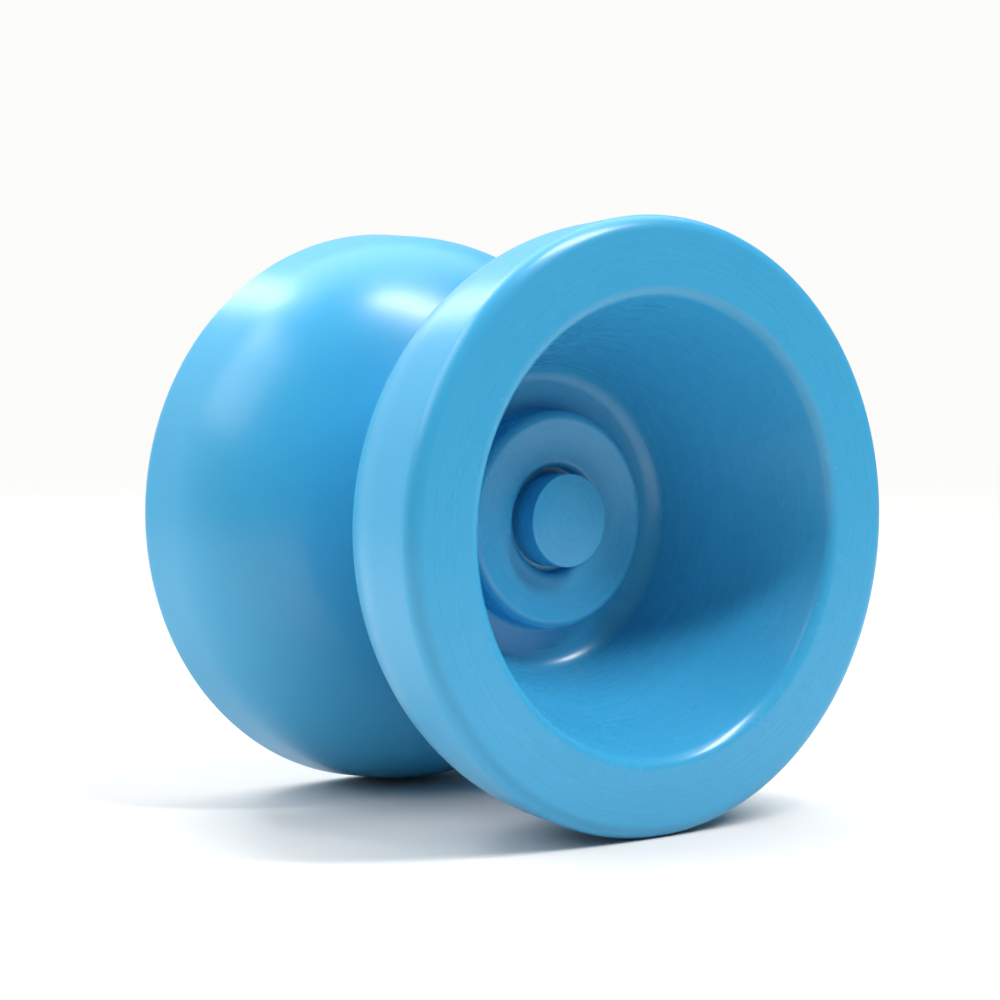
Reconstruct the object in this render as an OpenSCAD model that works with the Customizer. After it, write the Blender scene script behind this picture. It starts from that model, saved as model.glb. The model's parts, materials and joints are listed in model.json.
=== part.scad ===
// Unresponsive bearing yo-yo: two machined plastic halves on a steel set
// screw, with a size C ball bearing and two silicone response pads.
//
// The spin axis is Y and the origin is the centre of the bearing. +Z is up,
// and the rims rest on a surface at Z = -rim_d / 2. The front half is at -Y.
// Every turned piece is drawn in its own profile plane as [radius, distance
// from the centre plane], and turned() lays it out to the front or the back.

/* [Body] */
// Diameter over the rims
rim_d = 56; // [54:0.5:60]
// Width over the two rim faces
body_w = 45.5; // [45:0.1:48]
// Rounding between the rim face and the outer band
rim_round = 1.4; // [1:0.1:2.5]
// How far the outer band reaches in from the rim face
band_w = 6; // [5:0.1:7]
// Taper of the outer band towards the string
band_taper = 4.5; // [3:0.1:6]
// Radius of the arc between the band and the straight catch wall
catch_r = 13.2; // [12.8:0.1:13.6]
// Slope of the straight catch wall, measured from the spin axis
catch_slope = 70.5; // [69:0.1:71]
// String gap between the two hub faces
gap_w = 4.3; // [4.2:0.05:4.6]

/* [Cup] */
// Diameter of the cup's mouth, where the wall's line meets the rim face
mouth_d = 41.8; // [41:0.1:44]
// Rounding of the cup's lip
lip_round = 1.3; // [0.5:0.1:2]
// Angle of the cup wall to the spin axis
wall_angle = 20; // [18:0.5:21]
// Depth of the moat floor below the rim face
moat_depth = 18.2; // [17.5:0.1:18.4]
// Radius of the fillet between the cup wall and the moat floor
moat_fillet = 1.8; // [0.5:0.1:2.2]
// Outer diameter of the raised ring
ring_d = 20.7; // [19:0.1:22]
// Depth of the ring's crest below the rim face
ring_depth = 15.25; // [14.8:0.05:16]
// How far the ring's top falls from its crest to the groove
ring_dish = 0.45; // [0.1:0.05:0.6]
// Diameter of the centre boss
boss_d = 8.8; // [8.4:0.1:9.2]
// Depth of the boss's top below the rim face
boss_depth = 13.75; // [13:0.05:14]
// Width of the groove round the boss
groove_w = 0.6; // [0.4:0.05:0.8]
// Depth of that groove below the ring's inner edge
groove_depth = 1.2; // [0.5:0.1:1.5]
// Rounding of the groove's outer edge
groove_round = 0.35; // [0.1:0.05:0.4]

/* [Axle] */
// Thread diameter of the set screw
axle_d = 4; // [3:0.5:5]
// Length of the set screw
axle_l = 16; // [15.6:0.1:16]
// Width of the set screw's hexagon socket across its flats
axle_hex = 2; // [1.5:0.5:2.5]
// Diameter of the insert's pressed-in barrel
insert_d = 7; // [6.6:0.1:7.2]
// Diameter of the insert's shoulder, which clamps the inner race
shoulder_d = 8; // [7.6:0.1:8.1]

/* [Bearing] */
// Bore of the size C bearing
bearing_bore = 6.35; // [6.25:0.05:6.45]
// Outer diameter of the bearing
bearing_od = 12.7; // [12.6:0.05:12.8]
// Width of the bearing
bearing_w = 4.76; // [4.66:0.02:4.8]
// Number of balls
ball_count = 10; // [8:1:10]
// Diameter of one ball
ball_d = 1.588; // [1.5:0.004:1.6]

/* [Response] */
// Outer diameter of a response pad
pad_od = 19; // [18.6:0.1:19.2]
// Inner diameter of a response pad
pad_id = 14.6; // [14.2:0.1:15]
// Thickness of a response pad
pad_t = 1; // [0.8:0.05:1.2]

/* [Hidden] */
$fn = 96;
// Straight steps in a large arc, in a small one and in the ring's dish
arc_steps = 24;
fillet_steps = 12;
dish_steps = 8;
// How far a cut runs past the face that it opens
over = 1;

half_w = body_w / 2;
rim_r = rim_d / 2;
hub_y = gap_w / 2;
boss_y = half_w - boss_depth;
moat_y = half_w - moat_depth;
ring_y = half_w - ring_depth;
boss_r = boss_d / 2;
groove_r = boss_r + groove_w;
ring_edge_y = ring_y - ring_dish;
ring_shoulder = 0.8;
boss_chamfer = 0.15;

// Clearances: a running fit, a push fit, the recess round the bearing, the
// hole that the screw's end stands in, and the recess behind the bearing
run_gap = 0.02;
seat_gap = 0.02;
bearing_clear = 0.25;
screw_hole_clear = 0.1;
end_clear = 0.15;

// Bearing: where the balls run, and how the ring space is shared out
pitch_r = (bearing_bore + bearing_od) / 4;
ball_r = ball_d / 2;
track_conformity = 1.04;
track_r = ball_r * track_conformity;
track_gap = 0.011;
inner_land_r = pitch_r - 0.52;
outer_land_r = pitch_r + 0.54;
race_half_w = bearing_w / 2;
cage_in_r = inner_land_r + 0.2;
cage_out_r = outer_land_r - 0.2;
cage_back_y = 1.3;
cage_tip_y = -0.5;
pocket_gap = 0.07;
shield_y = 1.93;
shield_t = 0.15;
shield_in_r = inner_land_r + 0.1;
counterbore_r = 5.9;
shield_out_r = counterbore_r - 0.02;
snap_gap = 0.01;
snap_y = shield_y + shield_t + snap_gap;
snap_t = 0.2;
snap_in_r = 5.55;
snap_groove_r = 6.06;
snap_out_r = snap_groove_r - 0.03;
snap_opening = 0.9;

// Insert, axle and the pockets that hold them
post_tip_y = 0.15;
shoulder_t = 1;
insert_end_y = 7.6;
screw_hole_end_y = axle_l / 2 + end_clear;
hex_depth = 2;
recess_r = bearing_od / 2 + bearing_clear;
recess_y = race_half_w + end_clear;
pad_set_in = 0.1;
pad_face_y = hub_y + pad_set_in;

BALLS = [for (i = [1 : ball_count]) str("ball_", i)];

// Turns a profile of [radius, distance] points about Y; side -1 lays it out
// towards the front, and side 1 towards the back.
module turned(side) {
    rotate([-90 * side, 0, 0])
        rotate_extrude()
            children();
}

// A plain ring between two radii and two distances from the centre plane
module ring(side, in_r, out_r, near_y, far_y) {
    turned(side)
        translate([in_r, near_y])
            square([out_r - in_r, far_y - near_y]);
}

// Points of an arc about c from angle a0 to angle a1, end points included
function arc(c, r, a0, a1, steps = arc_steps) =
    [for (i = [0 : steps]) let (a = a0 + (a1 - a0) * i / steps)
        c + r * [cos(a), sin(a)]];

// ---- The two halves ----

// Outside of a half, from the rim face's edge round to the hub face: the
// rounded edge, the tapered band, the catch arc and the straight catch wall.
function outside_points() =
    let (
        edge_c = [rim_r - rim_round, half_w - rim_round],
        band_dir = [cos(-band_taper), sin(-band_taper)],
        band_top = edge_c + rim_round * band_dir,
        band_run = band_w - rim_round,
        band_end = band_top - band_run * [tan(band_taper), 1],
        catch_c = band_end - catch_r * band_dir,
        wall_top = catch_c + catch_r * [cos(catch_slope), -sin(catch_slope)],
        hub_r = wall_top[0] - (wall_top[1] - hub_y) * tan(catch_slope)
    )
    concat(
        arc(edge_c, rim_round, 90, -band_taper),
        arc(catch_c, catch_r, -band_taper, -catch_slope),
        [[hub_r, hub_y]]
    );

// Inside of the cup, from the boss's centre out to the lip
function cup_points() =
    let (
        lip_back = lip_round * (1 / cos(wall_angle) - tan(wall_angle)),
        lip_c = [mouth_d / 2 + lip_back, half_w - lip_round],
        wall_dir = [-cos(wall_angle), sin(wall_angle)],
        wall_top = lip_c + lip_round * wall_dir,
        fillet_y = moat_y + moat_fillet,
        wall_r = wall_top[0] - (wall_top[1] - fillet_y) * tan(wall_angle),
        fillet_r = wall_r - moat_fillet / cos(wall_angle),
        fillet_c = [fillet_r, fillet_y],
        shoulder_c = [ring_d / 2 - ring_shoulder, ring_y - ring_shoulder],
        edge_c = [groove_r + groove_round, ring_edge_y - groove_round],
        dish_w = shoulder_c[0] - edge_c[0],
        dish = [for (i = [1 : dish_steps - 1]) let (t = i / dish_steps)
            [edge_c[0] + dish_w * t, ring_edge_y + ring_dish * t * t]]
    )
    concat(
        [[0, boss_y]],
        [[boss_r - boss_chamfer, boss_y], [boss_r, boss_y - boss_chamfer]],
        [[boss_r, ring_edge_y - groove_depth]],
        [[groove_r, ring_edge_y - groove_depth]],
        arc(edge_c, groove_round, 180, 90, fillet_steps),
        dish,
        arc(shoulder_c, ring_shoulder, 90, 0, fillet_steps),
        [[ring_d / 2, moat_y]],
        arc(fillet_c, moat_fillet, -90, -wall_angle, fillet_steps),
        arc(lip_c, lip_round, 180 - wall_angle, 90, fillet_steps)
    );

module half(side) {
    difference() {
        turned(side)
            polygon(concat([[0, hub_y]], cup_points(), outside_points()));
        ring(side, 0, recess_r, hub_y - over, recess_y);
        ring(side, 0, shoulder_d / 2, recess_y - over, race_half_w + shoulder_t);
        ring(side, 0, insert_d / 2, race_half_w, insert_end_y);
        ring(side, 0, axle_d / 2 + screw_hole_clear, insert_end_y - over, screw_hole_end_y);
        ring(side, pad_id / 2, pad_od / 2, hub_y - over, pad_face_y + pad_t);
    }
}

module front_half() {
    color([0.19, 0.58, 0.80]) half(-1);
}

module back_half() {
    color([0.19, 0.58, 0.80]) half(1);
}

// ---- Threaded inserts and axle ----

// Brass insert: the post that centres the bearing, the shoulder that clamps
// its inner race, the barrel pressed into the plastic, and the thread's bore.
module insert(side) {
    difference() {
        union() {
            ring(side, 0, bearing_bore / 2 - seat_gap, post_tip_y, race_half_w + shoulder_t);
            ring(side, 0, shoulder_d / 2, race_half_w, race_half_w + shoulder_t);
            ring(side, 0, insert_d / 2, race_half_w, insert_end_y);
        }
        ring(side, 0, axle_d / 2 + run_gap, -over, insert_end_y + over);
    }
}

module front_insert() {
    color([0.80, 0.64, 0.32]) insert(-1);
}

module back_insert() {
    color([0.80, 0.64, 0.32]) insert(1);
}

// Set screw with a hexagon socket in its back end
module axle() {
    hex_r = axle_hex / 2 / cos(30);
    color([0.36, 0.37, 0.39])
        rotate([-90, 0, 0])
            difference() {
                translate([0, 0, -axle_l / 2])
                    cylinder(h = axle_l, d = axle_d);
                translate([0, 0, axle_l / 2 - hex_depth])
                    cylinder(h = hex_depth + over, r = hex_r, $fn = 6);
            }
}

// ---- Response pads ----

module pad(side) {
    ring(side, pad_id / 2, pad_od / 2, pad_face_y, pad_face_y + pad_t);
}

module front_pad() {
    color([0.93, 0.93, 0.90]) pad(-1);
}

module back_pad() {
    color([0.93, 0.93, 0.90]) pad(1);
}

// ---- Ball bearing ----

// Ring-shaped track that the balls run in
module track(offset_r) {
    turned(1)
        translate([pitch_r + offset_r, 0])
            circle(r = track_r);
}

module inner_race() {
    color([0.76, 0.77, 0.79])
        difference() {
            ring(1, bearing_bore / 2, inner_land_r, -race_half_w, race_half_w);
            track(track_r - ball_r - track_gap);
        }
}

module outer_race() {
    color([0.76, 0.77, 0.79])
        difference() {
            ring(1, outer_land_r, bearing_od / 2, -race_half_w, race_half_w);
            track(ball_r - track_r + track_gap);
            for (side = [-1, 1]) {
                ring(side, 0, counterbore_r, shield_y, race_half_w + over);
                ring(side, 0, snap_groove_r, snap_y - snap_gap, snap_y + snap_t + snap_gap);
            }
        }
}

// Angle of ball i round the bearing
function ball_angle(i) = 360 * (i - 1) / ball_count;

// Puts its children where ball i is
module at_ball(i) {
    rotate([0, ball_angle(i), 0])
        translate([0, 0, pitch_r])
            children();
}

// Crown cage: a ring behind the balls, with prongs reaching between them
module cage() {
    color([0.70, 0.62, 0.45])
        difference() {
            ring(1, cage_in_r, cage_out_r, cage_tip_y, cage_back_y);
            for (i = [1 : ball_count])
                at_ball(i) sphere(r = ball_r + pocket_gap);
        }
}

module ball(i) {
    color([0.86, 0.87, 0.88]) at_ball(i) sphere(r = ball_r);
}

module shield(side) {
    ring(side, shield_in_r, shield_out_r, shield_y, shield_y + shield_t);
}

module front_shield() {
    color([0.70, 0.71, 0.73]) shield(-1);
}

module back_shield() {
    color([0.70, 0.71, 0.73]) shield(1);
}

// C-shaped wire ring that keeps a shield in the outer race
module snap_ring(side) {
    difference() {
        ring(side, snap_in_r, snap_out_r, snap_y, snap_y + snap_t);
        translate([-snap_opening / 2, side * snap_y - over, 0])
            cube([snap_opening, 2 * over, bearing_od]);
    }
}

module front_snap_ring() {
    color([0.55, 0.56, 0.58]) snap_ring(-1);
}

module back_snap_ring() {
    color([0.55, 0.56, 0.58]) snap_ring(1);
}

front_half();
back_half();
front_insert();
back_insert();
axle();
front_pad();
back_pad();
inner_race();
outer_race();
cage();
front_shield();
back_shield();
front_snap_ring();
back_snap_ring();
for (i = [1 : ball_count])
    ball(i);
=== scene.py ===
"""Looks for the bearing yo-yo: turned meshes, materials, stage, light and camera.

The CAD frame is in metres with the spin axis on Y, the front half at -Y, +Z up
and the origin at the centre of the bearing. Sizes below are in millimetres and
are turned into metres by MM.
"""
import json
import math

import bmesh
import bpy
from mathutils import Matrix, Vector


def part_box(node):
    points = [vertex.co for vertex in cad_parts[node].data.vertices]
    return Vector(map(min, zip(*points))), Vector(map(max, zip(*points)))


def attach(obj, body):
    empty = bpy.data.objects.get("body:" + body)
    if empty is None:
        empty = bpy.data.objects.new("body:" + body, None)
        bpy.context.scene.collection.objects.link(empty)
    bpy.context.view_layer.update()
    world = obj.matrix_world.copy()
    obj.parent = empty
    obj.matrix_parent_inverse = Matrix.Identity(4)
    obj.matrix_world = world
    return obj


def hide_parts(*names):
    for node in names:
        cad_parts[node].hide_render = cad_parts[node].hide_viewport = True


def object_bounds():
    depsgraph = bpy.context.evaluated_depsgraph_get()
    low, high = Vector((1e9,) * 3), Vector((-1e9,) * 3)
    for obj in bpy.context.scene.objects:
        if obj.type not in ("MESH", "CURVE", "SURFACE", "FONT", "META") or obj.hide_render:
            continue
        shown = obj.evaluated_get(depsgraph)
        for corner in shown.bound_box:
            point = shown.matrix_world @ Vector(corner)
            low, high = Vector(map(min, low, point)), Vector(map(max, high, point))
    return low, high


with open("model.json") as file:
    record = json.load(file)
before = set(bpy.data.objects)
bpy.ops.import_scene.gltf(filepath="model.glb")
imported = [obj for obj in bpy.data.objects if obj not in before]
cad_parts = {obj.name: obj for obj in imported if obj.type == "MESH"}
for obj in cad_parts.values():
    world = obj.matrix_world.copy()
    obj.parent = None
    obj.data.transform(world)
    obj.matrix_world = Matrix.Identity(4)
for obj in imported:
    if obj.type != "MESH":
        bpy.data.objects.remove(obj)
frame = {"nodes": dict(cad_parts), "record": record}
cad_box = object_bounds()

MM = 0.001

# ---- Driving sizes, all in millimetres ----

RIM_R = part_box("front_half")[1].z / MM
HALF_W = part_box("back_half")[1].y / MM
HUB_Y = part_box("back_half")[0].y / MM

RIM_ROUND = 1.4
BAND_W = 6.0
BAND_TAPER = math.radians(4.5)
CATCH_R = 13.2
CATCH_SLOPE = math.radians(70.5)
HUB_EDGE_ROUND = 0.25

MOUTH_R = 20.9
LIP_ROUND = 1.3
WALL_ANGLE = math.radians(20)
MOAT_Y = HALF_W - 18.2
MOAT_FILLET = 1.8
RING_FOOT_ROUND = 0.3
RING_R = 10.35
RING_Y = HALF_W - 15.25
RING_SHOULDER = 0.8
RING_DISH = 0.45
BOSS_R = 4.4
BOSS_Y = HALF_W - 13.75
GROOVE_W = 0.6
GROOVE_DEPTH = 1.2
GROOVE_ROUND = 0.7
EDGE_BREAK = 0.12

RECESS_R = 6.6
RECESS_Y = 2.53
SHOULDER_POCKET_R = 4.0
SHOULDER_POCKET_Y = 3.38
BARREL_POCKET_R = 3.5
BARREL_POCKET_Y = 7.6
SCREW_HOLE_R = 2.1
SCREW_HOLE_Y = 8.15
PAD_IN_R = 7.3
PAD_OUT_R = 9.5
PAD_BACK_Y = 3.25
POCKET_ROUND = 0.06

# Response pad: how deep its face sits, how much that face is crowned and over
# what share of its width, how far down its sides start, and its edges' round
PAD_SET_IN = 0.1
PAD_CROWN = 0.05
PAD_CROWN_SHARE = 0.86
PAD_SIDE = 0.2
PAD_ROUND = 0.12

AXLE_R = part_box("axle")[1].x / MM
AXLE_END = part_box("axle")[1].y / MM
THREAD_PITCH = 0.7
THREAD_DEPTH = 0.38
# Shares of half a pitch: the thread's flat root, and its flank
THREAD_ROOT = 0.12
THREAD_FLANK = 0.72
END_CHAMFER = 0.45
# How much of the chamfer a crest takes more than a root, and what a root takes
CHAMFER_AT_CREST = 0.6
CHAMFER_AT_ROOT = 0.25
HEX_HALF_FLATS = 1.0
HEX_DEPTH = 2.0
HEX_CONE = 0.5

# The border between the cup's finish and the outside's, in the plastic: this
# far from the centre plane, and further by the slope beyond the radius
FINISH_BORDER_Y = 4.3
FINISH_BORDER_R = 14.2
FINISH_BORDER_SLOPE = 1.6

# Straight steps round the axis, and along each stretch of the outline
TURN_STEPS = 256
RIM_STEPS = 20
BAND_STEPS = 6
CATCH_STEPS = 40
GROOVE_STEPS = 10
DISH_STEPS = 16
SHOULDER_STEPS = 12
FILLET_STEPS = 16
WALL_STEPS = 24
LIP_STEPS = 16
FACE_STEPS = 6
PAD_STEPS = 12
SCREW_STEPS = 64
STEPS_PER_PITCH = 10


# ---- Profiles: lists of (radius, distance from the centre plane) ----

def arc(cr, cy, radius, start, end, steps):
    """Points of an arc about (cr, cy), angles in radians, both ends included."""
    points = []
    for i in range(steps + 1):
        a = start + (end - start) * i / steps
        points.append((cr + radius * math.cos(a), cy + radius * math.sin(a)))
    return points


def run(p0, p1, steps):
    """Points on a straight run from p0 to p1, without p0 and with p1."""
    return [(p0[0] + (p1[0] - p0[0]) * i / steps,
             p0[1] + (p1[1] - p0[1]) * i / steps) for i in range(1, steps + 1)]


MOST_OF_A_SIDE = 0.45


def rounded(points, radius, steps=4):
    """The outline with every corner rounded by radius, apart from its two ends."""
    out = [points[0]]
    for before, here, after in zip(points, points[1:], points[2:]):
        a = Vector(before) - Vector(here)
        b = Vector(after) - Vector(here)
        turn = a.angle(b)
        reach = min(radius / math.tan(turn / 2),
                    a.length * MOST_OF_A_SIDE, b.length * MOST_OF_A_SIDE)
        start = Vector(here) + a.normalized() * reach
        end = Vector(here) + b.normalized() * reach
        for i in range(steps + 1):
            t = i / steps
            corner = (1 - t) ** 2 * start + 2 * t * (1 - t) * Vector(here) + t * t * end
            out.append((corner.x, corner.y))
    out.append(points[-1])
    return out


def outside_profile():
    """From the rim face round the band and the catch zone to the hub face."""
    right = math.pi / 2
    edge_r = RIM_R - RIM_ROUND
    edge_y = HALF_W - RIM_ROUND
    points = arc(edge_r, edge_y, RIM_ROUND, right, -BAND_TAPER, RIM_STEPS)
    top_r, top_y = points[-1]
    band_run = BAND_W - RIM_ROUND
    end_r = top_r - band_run * math.tan(BAND_TAPER)
    end_y = top_y - band_run
    points += run((top_r, top_y), (end_r, end_y), BAND_STEPS)
    catch_c = (end_r - CATCH_R * math.cos(BAND_TAPER),
               end_y + CATCH_R * math.sin(BAND_TAPER))
    points += arc(*catch_c, CATCH_R, -BAND_TAPER, -CATCH_SLOPE, CATCH_STEPS)[1:]
    wall_r, wall_y = points[-1]
    hub_r = wall_r - (wall_y - HUB_Y) * math.tan(CATCH_SLOPE)
    hub = rounded([(wall_r, wall_y), (hub_r, HUB_Y), (PAD_OUT_R, HUB_Y)],
                  HUB_EDGE_ROUND)
    return points + hub[1:-1]


def cup_profile():
    """From the boss's centre over the ring and the moat, up the wall to the lip."""
    right = math.pi / 2
    lip_back = LIP_ROUND * (1 / math.cos(WALL_ANGLE) - math.tan(WALL_ANGLE))
    lip_r = MOUTH_R + lip_back
    lip_y = HALF_W - LIP_ROUND
    wall_r = lip_r - LIP_ROUND * math.cos(WALL_ANGLE)
    wall_y = lip_y + LIP_ROUND * math.sin(WALL_ANGLE)
    fillet_y = MOAT_Y + MOAT_FILLET
    foot_r = wall_r - (wall_y - fillet_y) * math.tan(WALL_ANGLE)
    fillet_r = foot_r - MOAT_FILLET / math.cos(WALL_ANGLE)
    groove_r = BOSS_R + GROOVE_W
    edge_y = RING_Y - RING_DISH
    groove_y = edge_y - GROOVE_DEPTH
    boss = rounded([(0, BOSS_Y), (BOSS_R, BOSS_Y), (BOSS_R, groove_y),
                    (groove_r, groove_y), (groove_r, edge_y)], EDGE_BREAK)
    crest_r = RING_R - RING_SHOULDER
    lip_in_r = groove_r + GROOVE_ROUND
    groove_lip = arc(lip_in_r, edge_y - GROOVE_ROUND, GROOVE_ROUND,
                     math.pi, right, GROOVE_STEPS)
    dish = []
    for i in range(1, DISH_STEPS):
        t = i / DISH_STEPS
        dish.append((lip_in_r + (crest_r - lip_in_r) * t, edge_y + RING_DISH * t * t))
    shoulder = arc(crest_r, RING_Y - RING_SHOULDER, RING_SHOULDER,
                   right, 0, SHOULDER_STEPS)
    moat = rounded([shoulder[-1], (RING_R, MOAT_Y), (fillet_r, MOAT_Y)],
                   RING_FOOT_ROUND)
    fillet = arc(fillet_r, fillet_y, MOAT_FILLET, -right, -WALL_ANGLE, FILLET_STEPS)
    wall = run(fillet[-1], (wall_r, wall_y), WALL_STEPS)
    lip = arc(lip_r, lip_y, LIP_ROUND, math.pi - WALL_ANGLE, right, LIP_STEPS)
    face = run(lip[-1], (RIM_R - RIM_ROUND, HALF_W), FACE_STEPS)
    hub = boss[:-1] + groove_lip + dish + shoulder + moat[1:-1]
    return hub + fillet + wall + lip[1:] + face


def hub_profile():
    """From the hub face in over the pad's groove and the bearing's recess.

    The first corner only gives the second its rounding, and isn't returned."""
    corners = [(PAD_OUT_R + 0.3, HUB_Y), (PAD_OUT_R, HUB_Y), (PAD_OUT_R, PAD_BACK_Y),
               (PAD_IN_R, PAD_BACK_Y), (PAD_IN_R, HUB_Y), (RECESS_R, HUB_Y),
               (RECESS_R, RECESS_Y), (SHOULDER_POCKET_R, RECESS_Y),
               (SHOULDER_POCKET_R, SHOULDER_POCKET_Y),
               (BARREL_POCKET_R, SHOULDER_POCKET_Y),
               (BARREL_POCKET_R, BARREL_POCKET_Y), (SCREW_HOLE_R, BARREL_POCKET_Y),
               (SCREW_HOLE_R, SCREW_HOLE_Y), (0, SCREW_HOLE_Y)]
    return rounded(corners, POCKET_ROUND, 2)[1:]


# ---- Mesh builders ----

def turned_mesh(name, profile, side, closed=False):
    """Turns a profile about Y. side -1 lays it out to the front, 1 to the back.

    A point on the axis becomes one vertex. A closed profile joins its ends."""
    bm = bmesh.new()
    rings = []
    for r, y in profile:
        if r < 1e-6:
            rings.append([bm.verts.new((0, side * y * MM, 0))])
            continue
        ring = []
        for i in range(TURN_STEPS):
            a = 2 * math.pi * i / TURN_STEPS
            ring.append(bm.verts.new((r * MM * math.sin(a), side * y * MM,
                                      r * MM * math.cos(a))))
        rings.append(ring)
    pairs = list(zip(rings, rings[1:]))
    if closed:
        pairs.append((rings[-1], rings[0]))
    for low, high in pairs:
        for i in range(TURN_STEPS):
            j = (i + 1) % TURN_STEPS
            corners = [low[i % len(low)], low[j % len(low)],
                       high[j % len(high)], high[i % len(high)]]
            face = []
            for v in corners:
                if v not in face:
                    face.append(v)
            bm.faces.new(face)
    bmesh.ops.recalc_face_normals(bm, faces=bm.faces)
    mesh = bpy.data.meshes.new(name)
    bm.to_mesh(mesh)
    bm.free()
    return finish_mesh(name, mesh)


def finish_mesh(name, mesh, sharp_angle=30):
    """Shades a mesh smooth between its sharp edges and puts it in the scene."""
    mesh.shade_smooth()
    mesh.set_sharp_from_angle(angle=math.radians(sharp_angle))
    obj = bpy.data.objects.new(name, mesh)
    bpy.context.scene.collection.objects.link(obj)
    return obj


def half_mesh(name, side):
    profile = cup_profile() + outside_profile()[1:] + hub_profile()
    return turned_mesh(name, profile, side)


def pad_mesh(name, side):
    """A cast silicone ring with soft edges and a slightly crowned face."""
    near, far = HUB_Y + PAD_SET_IN, PAD_BACK_Y
    mid = (PAD_IN_R + PAD_OUT_R) / 2
    half = (PAD_OUT_R - PAD_IN_R) / 2
    crown = []
    for i in range(PAD_STEPS + 1):
        t = -1 + 2 * i / PAD_STEPS
        crown.append((mid + half * PAD_CROWN_SHARE * t, near + PAD_CROWN * t * t))
    corners = [(PAD_IN_R, far), (PAD_IN_R, near + PAD_SIDE)] + crown
    corners += [(PAD_OUT_R, near + PAD_SIDE), (PAD_OUT_R, far)]
    return turned_mesh(name, rounded(corners, PAD_ROUND, 3), side, closed=True)


def thread_radius(angle, y):
    """Radius of a V thread with a flat crest and a flat root."""
    phase = (y / THREAD_PITCH - angle / (2 * math.pi)) % 1
    rise = 1 - abs(2 * phase - 1)
    tooth = min(1, max(0, (rise - THREAD_ROOT) / THREAD_FLANK))
    end_gap = AXLE_END - abs(y)
    chamfer = min(0, end_gap - END_CHAMFER)
    taken = tooth * CHAMFER_AT_CREST + CHAMFER_AT_ROOT
    return AXLE_R - THREAD_DEPTH * (1 - tooth) + chamfer * taken


def axle_mesh(name):
    """Set screw: helical thread, chamfered ends, hexagon socket at the back."""
    around = SCREW_STEPS
    rows = round(2 * AXLE_END / THREAD_PITCH * STEPS_PER_PITCH)
    bm = bmesh.new()
    rings = []
    for k in range(rows + 1):
        y = -AXLE_END + 2 * AXLE_END * k / rows
        ring = []
        for i in range(around):
            a = 2 * math.pi * i / around
            r = thread_radius(a, y)
            ring.append(bm.verts.new((r * MM * math.sin(a), y * MM,
                                      r * MM * math.cos(a))))
        rings.append(ring)
    for low, high in zip(rings, rings[1:]):
        for i in range(around):
            j = (i + 1) % around
            bm.faces.new((low[i], low[j], high[j], high[i]))
    centre = bm.verts.new((0, -AXLE_END * MM, 0))
    for i in range(around):
        bm.faces.new((centre, rings[0][(i + 1) % around], rings[0][i]))
    mouth = []
    floor = []
    for i in range(around):
        a = 2 * math.pi * i / around
        off = (math.degrees(a) + 30) % 60 - 30
        r = HEX_HALF_FLATS / math.cos(math.radians(off))
        x, z = r * MM * math.sin(a), r * MM * math.cos(a)
        mouth.append(bm.verts.new((x, AXLE_END * MM, z)))
        floor.append(bm.verts.new((x, (AXLE_END - HEX_DEPTH) * MM, z)))
    bottom = bm.verts.new((0, (AXLE_END - HEX_DEPTH - HEX_CONE) * MM, 0))
    for i in range(around):
        j = (i + 1) % around
        bm.faces.new((rings[-1][i], rings[-1][j], mouth[j], mouth[i]))
        bm.faces.new((mouth[i], mouth[j], floor[j], floor[i]))
        bm.faces.new((floor[i], floor[j], bottom))
    bmesh.ops.recalc_face_normals(bm, faces=bm.faces)
    mesh = bpy.data.meshes.new(name)
    bm.to_mesh(mesh)
    bm.free()
    return finish_mesh(name, mesh, 45)


# ---- Materials ----

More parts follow.
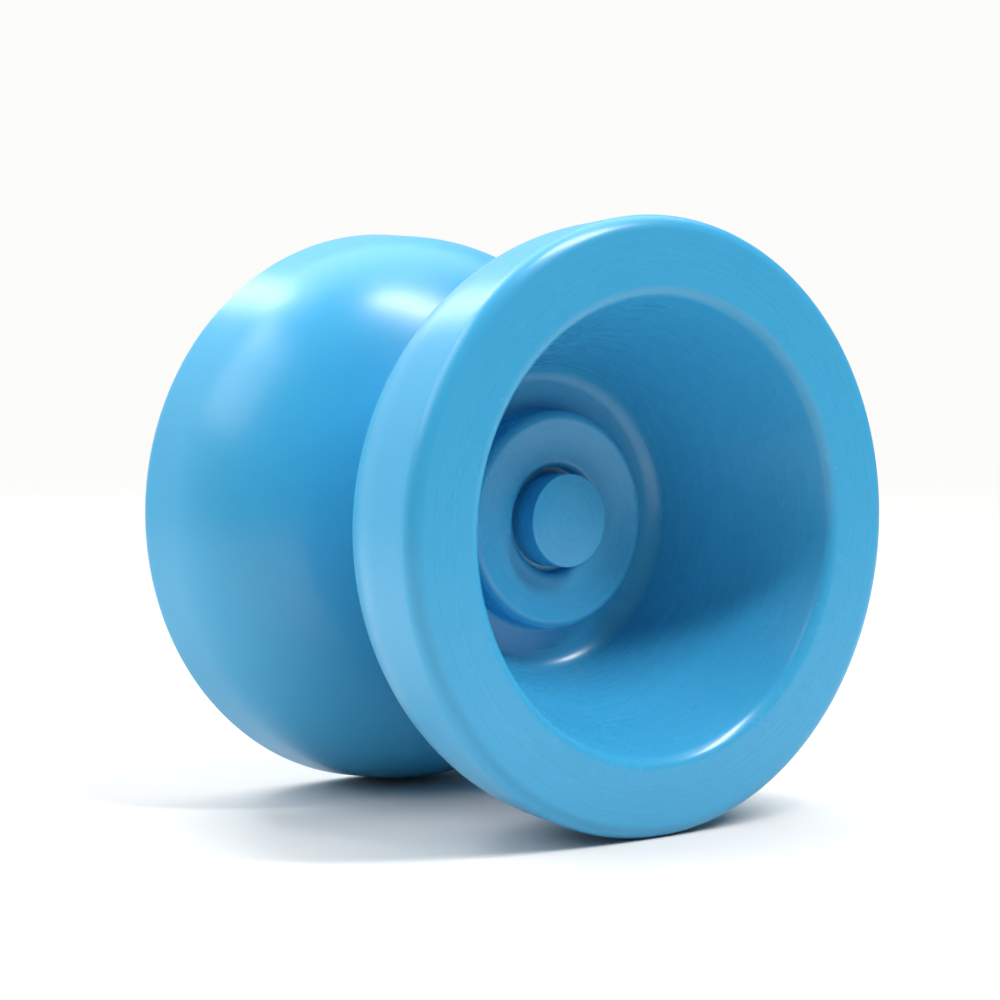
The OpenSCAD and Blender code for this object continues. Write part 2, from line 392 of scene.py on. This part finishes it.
class Nodes:
    """Short names for building a node tree round one Principled shader."""

    def __init__(self, name):
        self.material = bpy.data.materials.new(name)
        self.material.use_nodes = True
        self.tree = self.material.node_tree
        self.shader = self.tree.nodes["Principled BSDF"]
        self.position = self.add("ShaderNodeTexCoord").outputs["Object"]

    def add(self, kind, **settings):
        node = self.tree.nodes.new(kind)
        for key, value in settings.items():
            setattr(node, key, value)
        return node

    def link(self, source, target):
        self.tree.links.new(source, target)

    def feed(self, node, values):
        """Sets or links the node's first inputs, one for each value."""
        for socket, value in zip(node.inputs, values):
            if isinstance(value, (int, float)):
                socket.default_value = value
            else:
                self.link(value, socket)
        return node.outputs[0]

    def math(self, operation, *values):
        return self.feed(self.add("ShaderNodeMath", operation=operation), values)

    def turned_coordinates(self):
        """Radius from the spin axis and distance along it, in metres."""
        split = self.add("ShaderNodeSeparateXYZ")
        self.link(self.position, split.inputs[0])
        x, y, z = split.outputs
        squares = self.math("ADD", self.math("MULTIPLY", x, x),
                            self.math("MULTIPLY", z, z))
        return self.math("SQRT", squares), y

    def round_tangent(self):
        """Runs round the spin axis, along the marks that turning leaves."""
        node = self.add("ShaderNodeTangent", direction_type="RADIAL", axis="Y")
        return node.outputs[0]

    def distance_from_middle(self):
        node = self.add("ShaderNodeVectorMath", operation="LENGTH")
        self.link(self.position, node.inputs[0])
        return node.outputs["Value"]

    def combine(self, x, y, z):
        return self.feed(self.add("ShaderNodeCombineXYZ"), (x, y, z))

    def noise(self, vector, scale, detail=3.0, roughness=0.5):
        node = self.add("ShaderNodeTexNoise")
        self.link(vector, node.inputs["Vector"])
        node.inputs["Scale"].default_value = scale
        node.inputs["Detail"].default_value = detail
        node.inputs["Roughness"].default_value = roughness
        return node.outputs["Fac"]

    def spread(self, value, low, high, to_low, to_high):
        node = self.add("ShaderNodeMapRange")
        self.link(value, node.inputs["Value"])
        for key, number in (("From Min", low), ("From Max", high),
                            ("To Min", to_low), ("To Max", to_high)):
            node.inputs[key].default_value = number
        return node.outputs["Result"]

    def mix_colours(self, factor, dark, light):
        node = self.add("ShaderNodeMix", data_type="RGBA")
        self.link(factor, node.inputs["Factor"])
        node.inputs["A"].default_value = (*dark, 1)
        node.inputs["B"].default_value = (*light, 1)
        return node.outputs["Result"]

    def bump(self, height, strength, distance):
        node = self.add("ShaderNodeBump")
        self.link(height, node.inputs["Height"])
        node.inputs["Strength"].default_value = strength
        node.inputs["Distance"].default_value = distance
        return node.outputs["Normal"]

    def set(self, **values):
        for key, value in values.items():
            self.shader.inputs[key.replace("_", " ")].default_value = value


def turning_lines(nodes, scale):
    """Noise that changes only with radius and distance, so it runs in rings."""
    radius, along = nodes.turned_coordinates()
    return nodes.noise(nodes.combine(radius, along, 0.0), scale,
                       detail=4.0, roughness=0.6)


def cup_share(nodes):
    """1 on the surfaces inside a cup and 0 on the band and the catch zone."""
    radius, along = nodes.turned_coordinates()
    beyond = nodes.math("MAXIMUM",
                        nodes.math("SUBTRACT", radius, FINISH_BORDER_R * MM), 0.0)
    border = nodes.math("ADD", nodes.math("MULTIPLY", beyond, FINISH_BORDER_SLOPE),
                        FINISH_BORDER_Y * MM)
    return nodes.math("GREATER_THAN", nodes.math("ABSOLUTE", along), border)


def blue_acetal():
    """Solid blue acetal, turned on a lathe: satin outside, smoother in the cups."""
    n = Nodes("blue_acetal")
    rings = turning_lines(n, 5200)
    wide_rings = turning_lines(n, 900)
    clouds = n.noise(n.position, 60, detail=2.0)
    marks = n.noise(n.position, 260, detail=5.0, roughness=0.65)
    n.link(n.mix_colours(clouds, (0.038, 0.328, 0.575), (0.045, 0.348, 0.605)),
           n.shader.inputs["Base Color"])
    finish = n.math("MULTIPLY", cup_share(n), -0.04)
    base = n.math("ADD", n.spread(wide_rings, 0.3, 0.7, 0.29, 0.33), finish)
    worn = n.spread(marks, 0.55, 0.75, 0.0, 0.05)
    n.link(n.math("ADD", base, worn), n.shader.inputs["Roughness"])
    n.link(n.bump(rings, 0.12, 0.00001), n.shader.inputs["Normal"])
    n.link(n.round_tangent(), n.shader.inputs["Tangent"])
    n.set(IOR=1.48, Anisotropic=0.5, Anisotropic_Rotation=0.25,
          Subsurface_Weight=0.12, Subsurface_Scale=0.0015)
    n.shader.inputs["Subsurface Radius"].default_value = (0.15, 0.6, 1.0)
    return n.material


def metal(name, dark, light, rough, ring_scale, grain_scale, bump, anisotropic=0.0):
    """Turned, ground or pressed metal: rings about the spin axis and fine grain."""
    n = Nodes(name)
    rings = turning_lines(n, ring_scale)
    grain = n.noise(n.position, grain_scale, detail=5.0, roughness=0.6)
    n.link(n.mix_colours(grain, dark, light), n.shader.inputs["Base Color"])
    base = n.spread(rings, 0.3, 0.7, rough * 0.8, rough * 1.2)
    spots = n.spread(grain, 0.3, 0.7, -0.04, 0.05)
    n.link(n.math("ADD", base, spots), n.shader.inputs["Roughness"])
    n.link(n.bump(rings, bump, 0.00002), n.shader.inputs["Normal"])
    n.link(n.round_tangent(), n.shader.inputs["Tangent"])
    n.set(Metallic=1.0, Anisotropic=anisotropic, Anisotropic_Rotation=0.25)
    return n.material


def silicone():
    """Cast silicone: matte, a little translucent, with faint mottling and dust."""
    n = Nodes("silicone")
    mottle = n.noise(n.position, 500, detail=4.0)
    dust = n.noise(n.position, 4000, detail=4.0, roughness=0.7)
    n.link(n.mix_colours(mottle, (0.78, 0.78, 0.74), (0.86, 0.86, 0.83)),
           n.shader.inputs["Base Color"])
    n.link(n.spread(dust, 0.3, 0.7, 0.5, 0.68), n.shader.inputs["Roughness"])
    n.link(n.bump(dust, 0.25, 0.00003), n.shader.inputs["Normal"])
    n.set(Subsurface_Weight=0.3, Subsurface_Scale=0.001, Sheen_Weight=0.15)
    return n.material


MATERIALS = {
    "blue_acetal": blue_acetal(),
    "brass": metal(
        "brass", dark=(0.72, 0.50, 0.20), light=(0.82, 0.60, 0.27), rough=0.26,
        ring_scale=3000, grain_scale=900, bump=0.3, anisotropic=0.3),
    "black_oxide_steel": metal(
        "black_oxide_steel", dark=(0.05, 0.05, 0.055), light=(0.11, 0.11, 0.115),
        rough=0.42, ring_scale=2500, grain_scale=1500, bump=0.15),
    "bearing_steel": metal(
        "bearing_steel", dark=(0.58, 0.59, 0.61), light=(0.66, 0.67, 0.69),
        rough=0.16, ring_scale=6000, grain_scale=1200, bump=0.25, anisotropic=0.5),
    "ball_steel": metal(
        "ball_steel", dark=(0.68, 0.69, 0.70), light=(0.74, 0.75, 0.76),
        rough=0.07, ring_scale=6000, grain_scale=2500, bump=0.02),
    "cage_steel": metal(
        "cage_steel", dark=(0.42, 0.40, 0.36), light=(0.54, 0.52, 0.48),
        rough=0.34, ring_scale=2500, grain_scale=2000, bump=0.2),
    "shield_steel": metal(
        "shield_steel", dark=(0.52, 0.53, 0.55), light=(0.62, 0.63, 0.65),
        rough=0.24, ring_scale=4500, grain_scale=1500, bump=0.25, anisotropic=0.4),
    "spring_wire": metal(
        "spring_wire", dark=(0.36, 0.37, 0.39), light=(0.46, 0.47, 0.49),
        rough=0.3, ring_scale=3000, grain_scale=2500, bump=0.2),
    "silicone": silicone(),
}


# ---- Pieces ----

def place(obj, body, node, slot):
    """Gives a new piece its body and its material, and hides the CAD node it stands for.
    """
    obj.data.materials.append(MATERIALS[slot])
    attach(obj, body)
    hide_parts(node)


def dress(node, slot):
    """Gives a carried-over CAD node its material."""
    obj = frame["nodes"][node]
    obj.data.materials.clear()
    obj.data.materials.append(MATERIALS[slot])


place(half_mesh("front_half_turned", -1), "root", "front_half", "blue_acetal")
place(half_mesh("back_half_turned", 1), "back_half", "back_half", "blue_acetal")
place(pad_mesh("front_response_pad", -1), "root", "front_pad", "silicone")
place(pad_mesh("back_response_pad", 1), "back_pad", "back_pad", "silicone")
place(axle_mesh("axle_threaded"), "root", "axle", "black_oxide_steel")

for row in frame["record"]["subparts"]:
    if not frame["nodes"][row["node"]].hide_render:
        dress(row["node"], row["material_slot"])


# ---- Stage ----

# In metres. The paper thins out between these distances from its middle
FLOOR_Z = cad_box[0].z
FLOOR_R = 1.0
FADE_FROM = 0.10
FADE_TO = 0.95
FADE_CURVE = 3.0


def floor_mesh():
    """A round sheet under the object."""
    bm = bmesh.new()
    bmesh.ops.create_circle(bm, cap_ends=True, segments=96, radius=FLOOR_R)
    mesh = bpy.data.meshes.new("floor")
    bm.to_mesh(mesh)
    bm.free()
    return finish_mesh("floor", mesh)


def paper():
    """Matte white paper that thins out to nothing, so the floor has no far edge."""
    n = Nodes("paper")
    fibres = n.noise(n.position, 900, detail=5.0, roughness=0.6)
    clouds = n.noise(n.position, 6, detail=2.0)
    n.link(n.mix_colours(clouds, (0.66, 0.655, 0.645), (0.69, 0.685, 0.675)),
           n.shader.inputs["Base Color"])
    n.link(n.spread(fibres, 0.3, 0.7, 0.75, 0.95), n.shader.inputs["Roughness"])
    n.link(n.bump(fibres, 0.15, 0.0001), n.shader.inputs["Normal"])
    shown = n.spread(n.distance_from_middle(), FADE_FROM, FADE_TO, 1.0, 0.0)
    n.link(n.math("POWER", shown, FADE_CURVE), n.shader.inputs["Alpha"])
    return n.material


floor = floor_mesh()
floor.location = (0, 0, FLOOR_Z)
floor.data.materials.append(paper())


# ---- Camera ----

# Where it looks from, in degrees and in rim radii, and its lens in millimetres
CAMERA_AZIMUTH = -37.458
CAMERA_ELEVATION = 3.152
CAMERA_AT = Vector((-5.1908, -6.7132, 0.5228)) * RIM_R * MM
CAMERA_LENS = 88.56
SENSOR_WIDTH = 36
CLIP_NEAR = 0.01
CLIP_FAR = 20

camera_data = bpy.data.cameras.new("camera")
camera = bpy.data.objects.new("camera", camera_data)
bpy.context.scene.collection.objects.link(camera)
camera.location = CAMERA_AT
camera.rotation_euler = (math.radians(90 - CAMERA_ELEVATION), 0,
                         math.radians(CAMERA_AZIMUTH))
camera_data.sensor_width = SENSOR_WIDTH
camera_data.lens = CAMERA_LENS
camera_data.clip_start = CLIP_NEAR
camera_data.clip_end = CLIP_FAR
bpy.context.scene.camera = camera


# ---- Light ----

# Metres from the origin to each lamp
LAMP_FAR = 1.2

# The surroundings: their colour, their least and most strength as light, where
# they are strongest and from which cosine they start to rise, and the strength
# that the camera sees
WHITE = (1.0, 0.995, 0.98)
FILL = 0.1
GLOW = 0.95
GLOW_FROM = (-160, 12)
GLOW_START = -0.1
SEEN = 0.975


def direction(azimuth, elevation):
    """Unit vector: azimuth 0 points to -Y and 90 to +X, elevation is upwards."""
    a, e = math.radians(azimuth), math.radians(elevation)
    return Vector((math.sin(a) * math.cos(e), -math.cos(a) * math.cos(e), math.sin(e)))


def softbox(name, at, size, watts, along=None):
    """A rectangular lamp aimed at the origin, LAMP_FAR away.

    at and along are (azimuth, elevation). Its long side runs towards along, and
    level where there is none."""
    data = bpy.data.lights.new(name, "AREA")
    data.shape = "RECTANGLE"
    data.size, data.size_y = size
    data.energy = watts
    obj = bpy.data.objects.new(name, data)
    bpy.context.scene.collection.objects.link(obj)
    z = direction(*at)
    x = direction(*along) - z if along else Vector((0, 0, 1)).cross(z)
    x = (x - z * x.dot(z)).normalized()
    turn = Matrix((x, z.cross(x), z)).transposed()
    obj.matrix_world = Matrix.Translation(z * LAMP_FAR) @ turn.to_4x4()


softbox("front_strip", (32, 56), (0.8, 0.13), 16.8, along=(37, 36))
softbox("back_strip", (178, 40), (0.85, 0.16), 1.8, along=(-163, 58))
softbox("back_strip_top", (-165, 56), (0.28, 0.12), 1.5, along=(-163, 70))
softbox("left_wide", (-105, 45), (1.0, 0.8), 8.0)
softbox("left_behind", (-125, 57), (0.25, 0.2), 0.8)
softbox("top_wide", (145, 66), (1.6, 1.0), 11.0)


def studio_world():
    """White to look at. As light, a dim fill that grows towards GLOW_FROM."""
    world = bpy.data.worlds.new("studio")
    world.use_nodes = True
    tree = world.node_tree

    def add(kind, **settings):
        node = tree.nodes.new(kind)
        for key, value in settings.items():
            setattr(node, key, value)
        return node

    where = add("ShaderNodeTexCoord")
    towards = add("ShaderNodeVectorMath", operation="DOT_PRODUCT")
    towards.inputs[1].default_value = direction(*GLOW_FROM)
    glow = add("ShaderNodeMapRange", interpolation_type="SMOOTHSTEP")
    for key, number in (("From Min", GLOW_START), ("From Max", 1.0),
                        ("To Min", FILL), ("To Max", GLOW)):
        glow.inputs[key].default_value = number
    seen = add("ShaderNodeBackground")
    path = add("ShaderNodeLightPath")
    mix = add("ShaderNodeMixShader")
    fill = tree.nodes["Background"]
    fill.inputs["Color"].default_value = (*WHITE, 1)
    seen.inputs["Color"].default_value = (*WHITE, 1)
    seen.inputs["Strength"].default_value = SEEN
    tree.links.new(where.outputs["Generated"], towards.inputs[0])
    tree.links.new(towards.outputs["Value"], glow.inputs["Value"])
    tree.links.new(glow.outputs["Result"], fill.inputs["Strength"])
    tree.links.new(path.outputs["Is Camera Ray"], mix.inputs[0])
    tree.links.new(fill.outputs[0], mix.inputs[1])
    tree.links.new(seen.outputs[0], mix.inputs[2])
    tree.links.new(mix.outputs[0], tree.nodes["World Output"].inputs["Surface"])
    return world


bpy.context.scene.world = studio_world()
bpy.context.scene.view_settings.view_transform = "Standard"
bpy.context.scene.view_settings.look = "None"
